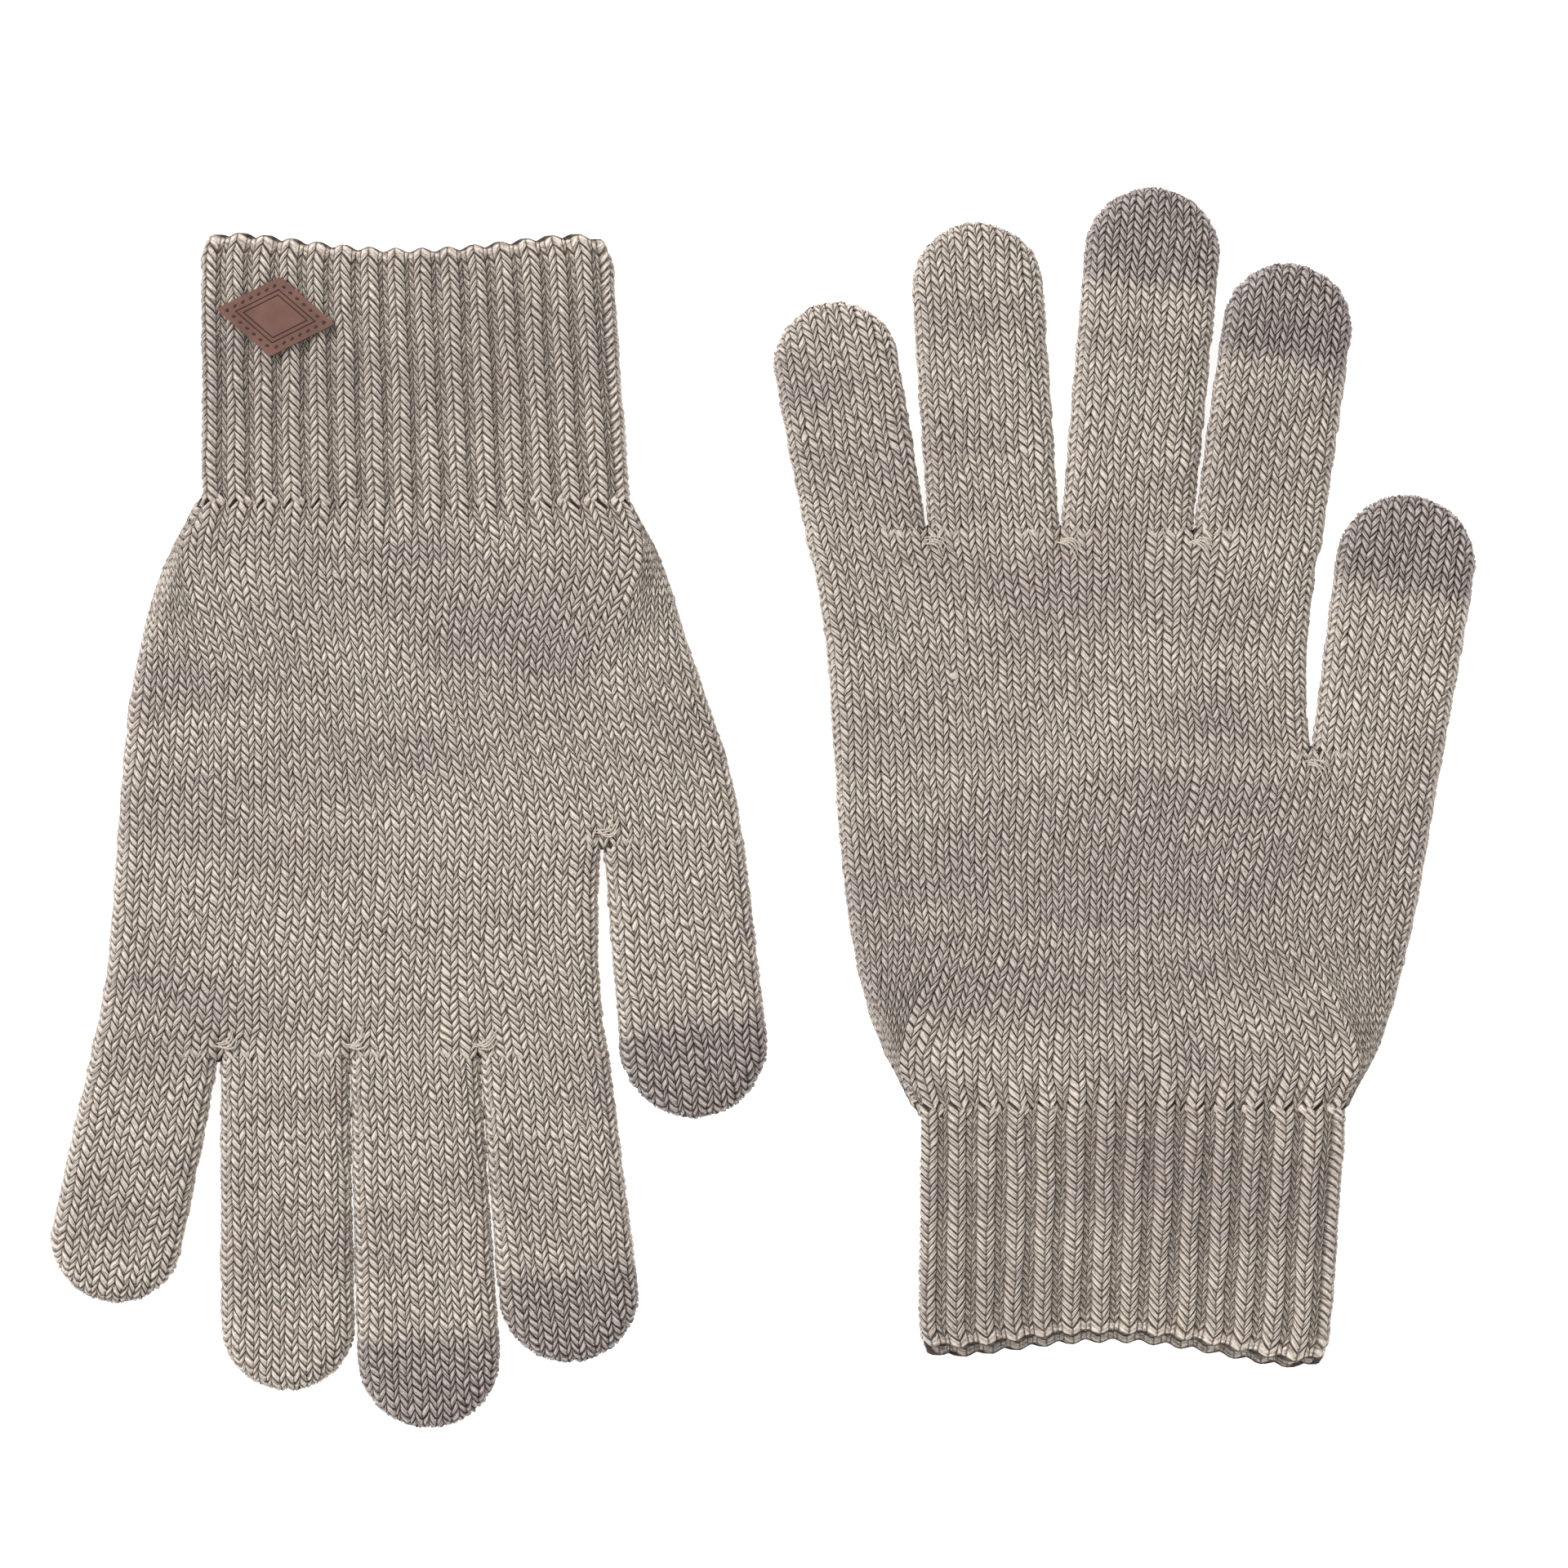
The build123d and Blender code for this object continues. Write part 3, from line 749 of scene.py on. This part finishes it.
class Shader:
    """One material's nodes."""

    def __init__(self, name):
        self.material = bpy.data.materials.new(name)
        self.material.use_nodes = True
        self.tree = self.material.node_tree
        self.surface = self.tree.nodes["Principled BSDF"]

    def node(self, kind, settings=None, inputs=None, output=0):
        made = self.tree.nodes.new(kind)
        for key, value in (settings or {}).items():
            setattr(made, key, value)
        for key, value in (inputs or {}).items():
            self.plug(made.inputs[key], value)
        return Value(self, made.outputs[output])

    def plug(self, socket, value):
        if isinstance(value, Value):
            self.tree.links.new(value.socket, socket)
        elif isinstance(value, (tuple, list)) and len(value) == 3 and socket.type == "RGBA":
            socket.default_value = (*value, 1.0)
        else:
            socket.default_value = value

    def mix(self, factor, first, second, blend="MIX"):
        settings = {"data_type": "RGBA", "blend_type": blend, "clamp_factor": True}
        return self.node("ShaderNodeMix", settings, {0: factor, 6: first, 7: second}, output=2)

    def noise(self, where, scale, detail=2.0, roughness=0.5):
        inputs = {"Vector": where, "Scale": scale, "Detail": detail, "Roughness": roughness}
        return self.node("ShaderNodeTexNoise", {}, inputs)

    def scaled(self, where, factors):
        return self.node("ShaderNodeVectorMath", {"operation": "MULTIPLY"}, {0: where, 1: factors})

    def set(self, **inputs):
        for key, value in inputs.items():
            self.plug(self.surface.inputs[key.replace("_", " ")], value)


def split_uv(shader, uv):
    """The two numbers of a UV map: the wale and the course."""
    parts = shader.tree.nodes.new("ShaderNodeSeparateXYZ")
    shader.tree.links.new(uv.socket, parts.inputs[0])
    return Value(shader, parts.outputs[0]), Value(shader, parts.outputs[1])


# a yarn's shades: painted shade for the bottom of its gaps, its dark and middle tones (the dark one also
# painted shade along the gaps), painted highlight along its plies, which its lightest flecks share, and
# the cast of its slow dye changes
PLAIN_SHADES = (
    (0.018, 0.014, 0.011),
    (0.122, 0.096, 0.078),
    (0.42, 0.350, 0.291),
    (0.90, 0.805, 0.705),
    (0.75, 0.72, 0.76),
)
TIP_SHADES = (
    (0.012, 0.009, 0.008),
    (0.067, 0.051, 0.046),
    (0.232, 0.190, 0.174),
    (0.66, 0.58, 0.535),
    (0.82, 0.79, 0.83),
)


def yarn_cloth(name, worn=0.0):
    """Soft spun yarn, knitted: plies along each leg, flecks of its two shades, slow dye changes, painted
    shade in the gaps between legs and rows, painted highlight along the plies.

    The second argument, from 0 to 1, evens the light and dark of its stitches: it lessens the painted
    shade in their gaps against their crowns and lifts their tone a little.
    """
    shader = Shader(name)
    where = shader.node("ShaderNodeTexCoord", output=3)
    uv = shader.node("ShaderNodeUVMap", {"uv_map": "knit"})
    sunk = shader.node("ShaderNodeAttribute", {"attribute_name": "sunk"}, output=2)
    wale, course = split_uv(shader, uv)
    leg, across = wale * 2, (wale * 2).part()
    ply = course.part()
    stitch = shader.node("ShaderNodeCombineXYZ", {}, {0: leg.maths("FLOOR"), 1: course.maths("FLOOR")})
    chance = shader.node("ShaderNodeTexWhiteNoise", {"noise_dimensions": "2D"}, {"Vector": stitch})
    fine = shader.noise(where, 1300, 2.0, 0.6)
    fleck = shader.noise(where, 2600, 2.0, 0.6)
    fibres = shader.noise(shader.scaled(uv, (2.6, 6.0, 1.0)), 1.0, 2.0, 0.65)
    # body is 1 on a leg's crown and falls to 0 in the gaps between legs and rows; it shapes the bump,
    # and in the colour it paints shade into those gaps
    bulge = (1 - (ply * 2 - 1) ** 2).at_least(0)
    crown = (across * (1 - across) * 4).at_least(0)
    body = bulge.ramp(-0.1, 0.8) * crown.ramp(0.0, 0.6, 0.45, 1.0)
    twist = ply * 1.7 + across * 0.35 + chance * 0.5 + fine * 0.5
    # strand: streaks along each leg's plies, ply relief in the bump and painted highlight in the colour
    strand = (twist * (2 * math.pi)).sine() * 0.5 + 0.5
    speckle = fibres.ramp(0.3, 0.7) * 0.48 + fleck.ramp(0.3, 0.7) * 0.16 + chance * 0.06
    # tone: the body's painted gap shade, eased by the second argument, the strand's painted highlight
    # and the yarn's own flecks
    tone = body * (0.38 - worn * 0.14 + strand * 0.24) + speckle * (body * 0.7 + 0.3) + worn * 0.07
    # painted shade: the ribs' sunk columns are darkened, with a little noise
    tone = tone * (1 - sunk * 0.34) + sunk * fine.ramp(0.3, 0.7, 0.0, 0.24)
    slow = shader.noise(shader.scaled(where, (13.0, 42.0, 30.0)), 1.7, 2.0, 0.55)
    slower = shader.noise(where, 17, 2.0, 0.5)
    dye = slow.ramp(0.44, 0.62) * 0.6 + slower.ramp(0.5, 0.66) * 0.4
    tipped = shader.node("ShaderNodeAttribute", {"attribute_name": "tipped"}, output=2)
    tipped = (tipped + (fine - 0.5) * 0.5 * tipped * (1 - tipped) * 4).ramp(0.0, 1.0)
    deep, dark, mid, light, patch = (
        shader.mix(tipped, plain, tip) for plain, tip in zip(PLAIN_SHADES, TIP_SHADES)
    )
    # deep and dark carry the painted shade in the gaps, dark also the yarn's darker flecks; light
    # carries the painted highlight on the plies and the yarn's light flecks
    colour = shader.mix(tone.ramp(0.0, 0.36), deep, dark)
    colour = shader.mix(tone.ramp(0.22, 0.62), colour, mid)
    colour = shader.mix(tone.ramp(0.52, 0.96), colour, light)
    colour = shader.mix(dye * 0.85, colour, shader.mix(1.0, colour, patch, blend="MULTIPLY"))
    height = body * 0.6 + strand * 0.35 + fleck * 0.35
    bump = shader.node("ShaderNodeBump", {}, {"Strength": 1.0, "Distance": 0.0006, "Height": height})
    shader.set(Base_Color=colour, Roughness=0.92, Normal=bump, Sheen_Weight=0.12, Sheen_Roughness=0.5)
    shader.set(Specular_IOR_Level=0.12)
    return shader.material


def leather(face_level):
    """Brown leather, darker where it is pressed in or cut, below the level of its face."""
    shader = Shader("tag_leather")
    where = shader.node("ShaderNodeTexCoord", output=3)
    level = shader.node("ShaderNodeSeparateXYZ", {}, {0: where}, output=2)
    face = level.ramp(face_level - 0.13 * MM, face_level - 0.02 * MM)
    cells = {"feature": "DISTANCE_TO_EDGE"}
    grain = shader.node("ShaderNodeTexVoronoi", cells, {"Vector": where, "Scale": 2600})
    fine = shader.noise(where, 5200, 3.0)
    broad = shader.noise(where, 160, 3.0)
    colour = shader.mix(broad.ramp(0.35, 0.7), (0.150, 0.064, 0.045), (0.200, 0.090, 0.064))
    colour = shader.mix(fine.ramp(0.4, 0.75) * 0.4, colour, (0.085, 0.037, 0.026))
    colour = shader.mix(face, (0.030, 0.013, 0.010), colour)
    height = grain.ramp(0.0, 0.06) * 0.35 + fine * 0.35
    bump = shader.node("ShaderNodeBump", {}, {"Strength": 0.35, "Distance": 0.00012, "Height": height})
    shader.set(Base_Color=colour, Roughness=fine.ramp(0.2, 0.8, 0.48, 0.66), Normal=bump)
    return shader.material


def dark_thread():
    shader = Shader("tag_thread")
    where = shader.node("ShaderNodeTexCoord", output=3)
    fine = shader.noise(where, 6000, 2.0)
    colour = shader.mix(fine.ramp(0.3, 0.7), (0.020, 0.010, 0.008), (0.055, 0.028, 0.020))
    shader.set(Base_Color=colour, Roughness=0.7)
    return shader.material


def cream_yarn():
    shader = Shader("crotch_yarn_cream")
    where = shader.node("ShaderNodeTexCoord", output=3)
    fine = shader.noise(where, 2600, 3.0, 0.6)
    colour = shader.mix(fine.ramp(0.3, 0.7), (0.40, 0.345, 0.285), (0.78, 0.70, 0.60))
    bump = shader.node("ShaderNodeBump", {}, {"Strength": 0.5, "Distance": 0.0002, "Height": fine})
    shader.set(Base_Color=colour, Roughness=0.9, Normal=bump, Sheen_Weight=0.3)
    return shader.material


plain_knit = yarn_cloth("plain_knit_yarn")
# the ribs get less painted shade in the gaps between their stitches
rib_knit = yarn_cloth("rib_knit_yarn", worn=0.6)
conductive_knit = yarn_cloth("conductive_knit_yarn")
thread_material = dark_thread()
cream_material = cream_yarn()


def settle(piece, material, nodes):
    """Give a piece its material and hide the CAD nodes it stands for."""
    piece.data.materials.append(material)
    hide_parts(*nodes)


# ---------------------------------------------------------------- tag and yarn ends


def closed_piece(name, bm):
    """Link a finished bmesh as a piece, its normals outward."""
    bmesh.ops.recalc_face_normals(bm, faces=bm.faces)
    mesh = bpy.data.meshes.new(name)
    bm.to_mesh(mesh)
    bm.free()
    return linked(name, mesh)


class TagPlan:
    """The diamond's place, turn and half diagonals, read from its node."""

    def __init__(self):
        co = points_of(frame["nodes"]["tag"].data)
        west, south = (co[np.argmin(co[:, axis])] for axis in (0, 1))
        east, north = (co[np.argmax(co[:, axis])] for axis in (0, 1))
        long, short = east - west, north - south
        self.low, self.high = co[:, 2].min(), co[:, 2].max()
        self.centre = Vector((*((west + east) / 2)[:2], 0))
        self.turn = math.atan2(long[1], long[0])
        self.half = Vector((math.hypot(*long[:2]) / 2, math.hypot(*short[:2]) / 2))

    def lay(self, bm, verts, height):
        """Turn and move what was made about the origin onto the tag."""
        bmesh.ops.rotate(bm, cent=(0, 0, 0), matrix=Matrix.Rotation(self.turn, 3, "Z"), verts=verts)
        bmesh.ops.translate(bm, vec=(self.centre.x, self.centre.y, height), verts=verts)


def make_tag(tag):
    """The leather diamond, with two fine lines pressed into its face."""
    bm = bmesh.new()
    bmesh.ops.create_circle(bm, cap_ends=True, segments=4, radius=1.0)
    bmesh.ops.scale(bm, vec=(tag.half.x, tag.half.y, 1), verts=bm.verts)
    raised = bmesh.ops.extrude_face_region(bm, geom=bm.faces[:])["geom"]
    top = [part for part in raised if isinstance(part, bmesh.types.BMVert)]
    bmesh.ops.translate(bm, vec=(0, 0, tag.high - tag.low + TAG_SINK), verts=top)
    bmesh.ops.recalc_face_normals(bm, faces=bm.faces)
    face = max(bm.faces, key=lambda f: f.calc_center_median().z)
    line = 0.16 * MM  # width and depth of a pressed line
    for gap in (2.15 * MM, 0.62 * MM):  # from the edge, then from the first line
        bmesh.ops.inset_region(bm, faces=[face], thickness=gap, use_even_offset=True)
        bmesh.ops.inset_region(bm, faces=[face], thickness=line * 0.4, depth=-line, use_even_offset=True)
        bmesh.ops.inset_region(bm, faces=[face], thickness=line * 0.8, use_even_offset=True)
        bmesh.ops.inset_region(bm, faces=[face], thickness=line * 0.4, depth=line, use_even_offset=True)
    upright = [e for e in bm.edges if abs(e.verts[0].co.z - e.verts[1].co.z) > 0.5 * MM]
    corner = {"offset": TAG_CORNER, "segments": 4, "profile": 0.5, "affect": "EDGES"}
    bmesh.ops.bevel(bm, geom=upright, material=-1, **corner)
    tag.lay(bm, bm.verts, tag.low - TAG_SINK)
    return closed_piece("tag_leather_diamond", bm)


def make_tag_stitches(tag):
    """Thread that shows in the tag's punched holes, slanting along each side."""
    bm = bmesh.new()
    side = Vector((tag.half.x, tag.half.y)).length
    slope = math.atan2(tag.half.y, tag.half.x)
    inset, pitch, holes = 1.2 * MM, 1.8 * MM, 7
    for across, up in ((1, 1), (-1, 1), (-1, -1), (1, -1)):
        normal = Vector((tag.half.y * across, tag.half.x * up)) / side
        middle = Vector((tag.half.x * across, tag.half.y * up)) / 2 - normal * inset
        run = Vector((-tag.half.x * across, tag.half.y * up)) / side
        for hole in range(holes):
            place = middle + run * (hole - holes // 2) * pitch
            made = bmesh.ops.create_uvsphere(bm, u_segments=10, v_segments=6, radius=1.0)["verts"]
            bmesh.ops.scale(bm, vec=(0.46 * MM, 0.30 * MM, 0.10 * MM), verts=made)
            slant = Matrix.Rotation(-slope * across * up + 0.35, 3, "Z")
            bmesh.ops.rotate(bm, cent=(0, 0, 0), matrix=slant, verts=made)
            bmesh.ops.translate(bm, vec=(place.x, place.y, 0), verts=made)
    tag.lay(bm, bm.verts, tag.high)
    shade_smooth(bm)
    return closed_piece("tag_stitches", bm)


def strand_mesh(name, strands):
    """Soft yarn strands, each a smooth line through a few points with its own thickness."""
    curve = bpy.data.curves.new(name, "CURVE")
    curve.dimensions, curve.bevel_depth, curve.bevel_resolution = "3D", 1.0, 2
    curve.use_fill_caps, curve.resolution_u = True, 6
    for points in strands:
        spline = curve.splines.new("NURBS")
        spline.points.add(len(points) - 1)
        for point, (x, y, z, radius) in zip(spline.points, points):
            point.co, point.radius = (x, y, z, 1.0), radius
        spline.order_u, spline.use_endpoint_u = 4, True
    made = bpy.data.objects.new(name, curve)
    mesh = bpy.data.meshes.new_from_object(made)
    bpy.data.objects.remove(made)
    mesh.name = name
    return linked(name, mesh)


def make_yarn_ends(glove):
    """Four cream strands that slant across each crotch, where the yarn was tied off."""
    rng = np.random.default_rng(5 + glove.ribs)
    thumb = glove.fingers["thumb"]
    thumb_crotch = (glove.upper_edges[0, 2] + thumb.start_x - thumb.root_radius) / 2
    crotches = [(x, glove.finger_level) for x in finger_crotches_of(glove)]
    crotches.append((thumb_crotch, glove.thumb_level))
    steps = 6
    slant = (0.86, 0.5)  # the way the strands run: outward, and back towards the wrist
    strands = []
    for x, v in crotches:
        for strand in range(4):
            # in millimetres, along the strand and off its line
            bend, thick = rng.uniform(-0.3, 0.3, steps), rng.uniform(0.15, 0.23)
            reach = rng.uniform(1.9, 3.1)
            points = []
            for step in range(steps):
                share = step / (steps - 1) * 2 - 1
                along = share * reach + 1.4
                off = 0.62 * (strand - 1.5) * (1 + 0.5 * share) + 1.3 * share**2 + bend[step]
                out = 0.9 + along * slant[0] - off * slant[1]
                back = 0.9 + along * slant[1] + off * slant[0]
                wx, wy = glove.world(x + out * MM, v - back * MM)
                lift = (0.2 + 0.5 * (1 - share**2)) * MM
                points.append((wx, wy, glove.hand_thick + lift, thick * (1 - 0.5 * share**2) * MM))
            strands.append(points)
    return strand_mesh(f"{glove.name}_crotch_strands", strands)


def make_slub(glove):
    """A small thick place in the yarn, on the back of the hand."""
    bm = bmesh.new()
    bmesh.ops.create_uvsphere(bm, u_segments=14, v_segments=8, radius=1.0)
    bmesh.ops.scale(bm, vec=(1.0 * MM, 0.75 * MM, 0.35 * MM), verts=bm.verts)
    x, y = glove.world(*SLUB_AT)
    bmesh.ops.translate(bm, vec=(x, y, glove.hand_thick - 0.1 * MM), verts=bm.verts)
    shade_smooth(bm)
    return closed_piece("slub_in_the_yarn", bm)


# ---------------------------------------------------------------- make the gloves

for glove in GLOVES:
    name = glove.name
    cuff = make_cuff(glove)
    settle(cuff, rib_knit, [f"{name}_cuff"])
    lower, upper = make_palm(glove)
    settle(lower, plain_knit, [f"{name}_lower_palm"])
    settle(upper, plain_knit, [f"{name}_upper_palm"])
    for piece in (cuff, lower):
        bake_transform(piece)
    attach(upper, f"{name}_hand")
    strands = make_yarn_ends(glove)
    settle(strands, cream_material, [f"{name}_crotch_yarn_ends"])
    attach(strands, f"{name}_hand")
    for finger in glove.fingers.values():
        pieces = make_finger(finger)
        stem = f"{name}_{finger.name}"
        settle(pieces["base"], plain_knit, [f"{stem}_base"])
        settle(pieces["end"], plain_knit, [f"{stem}_end"])
        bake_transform(pieces["base"])
        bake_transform(pieces["end"])
        if "tip" in pieces:
            settle(pieces["tip"], conductive_knit, [f"{stem}_tip"])
            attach(pieces["tip"], f"{stem}_end")

tag = TagPlan()
leather_material = leather(tag.high)
leather_tag = make_tag(tag)
settle(leather_tag, leather_material, ["tag"])
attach(leather_tag, "right_cuff")
stitches = make_tag_stitches(tag)
settle(stitches, thread_material, ["tag_stitching"])
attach(stitches, "right_cuff")
slub = make_slub(GLOVES[0])
slub.data.materials.append(cream_material)
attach(slub, "left_hand")

# ---------------------------------------------------------------- floor, light, camera

CAMERA_OVER = (4.2 * MM, 4.8 * MM)  # the view's centre, a little off the pair's


def make_floor():
    bm = bmesh.new()
    bmesh.ops.create_grid(bm, x_segments=1, y_segments=1, size=1.5)
    mesh = bpy.data.meshes.new("floor")
    bm.to_mesh(mesh)
    bm.free()
    floor = linked("floor", mesh)
    shader = Shader("floor_white")
    shader.set(Base_Color=(0.93, 0.93, 0.93), Roughness=0.9)
    shader.set(Emission_Color=(1.0, 1.0, 1.0), Emission_Strength=0.7)  # a lit table
    mesh.materials.append(shader.material)


def make_light(name, place, size, power):
    """A square lamp that looks at the middle of the pair."""
    data = bpy.data.lights.new(name, "AREA")
    data.shape, data.size, data.energy = "SQUARE", size, power
    light = linked(name, data)
    light.location = place
    light.rotation_euler = (-Vector(place)).to_track_quat("-Z", "Y").to_euler()


def make_world(brightness):
    world = bpy.data.worlds.new("studio")
    bpy.context.scene.world = world
    world.use_nodes = True
    background = world.node_tree.nodes["Background"]
    background.inputs["Color"].default_value = (1, 1, 1, 1)
    background.inputs["Strength"].default_value = brightness


def make_camera():
    """Straight down over the pair, which lies on the table."""
    data = bpy.data.cameras.new("camera")
    distance, half_view = 1.6, 0.160
    data.sensor_width = 36.0
    data.lens = data.sensor_width / 2 / (half_view / distance)
    data.clip_end = 20
    camera = linked("camera", data)
    camera.location = (*CAMERA_OVER, distance)
    bpy.context.scene.camera = camera


make_floor()
make_light("window", place=(-2.9, 2.7, 4.4), size=2.2, power=205)
make_world(brightness=0.75)
bpy.context.scene.view_settings.view_transform = "Standard"
make_camera()
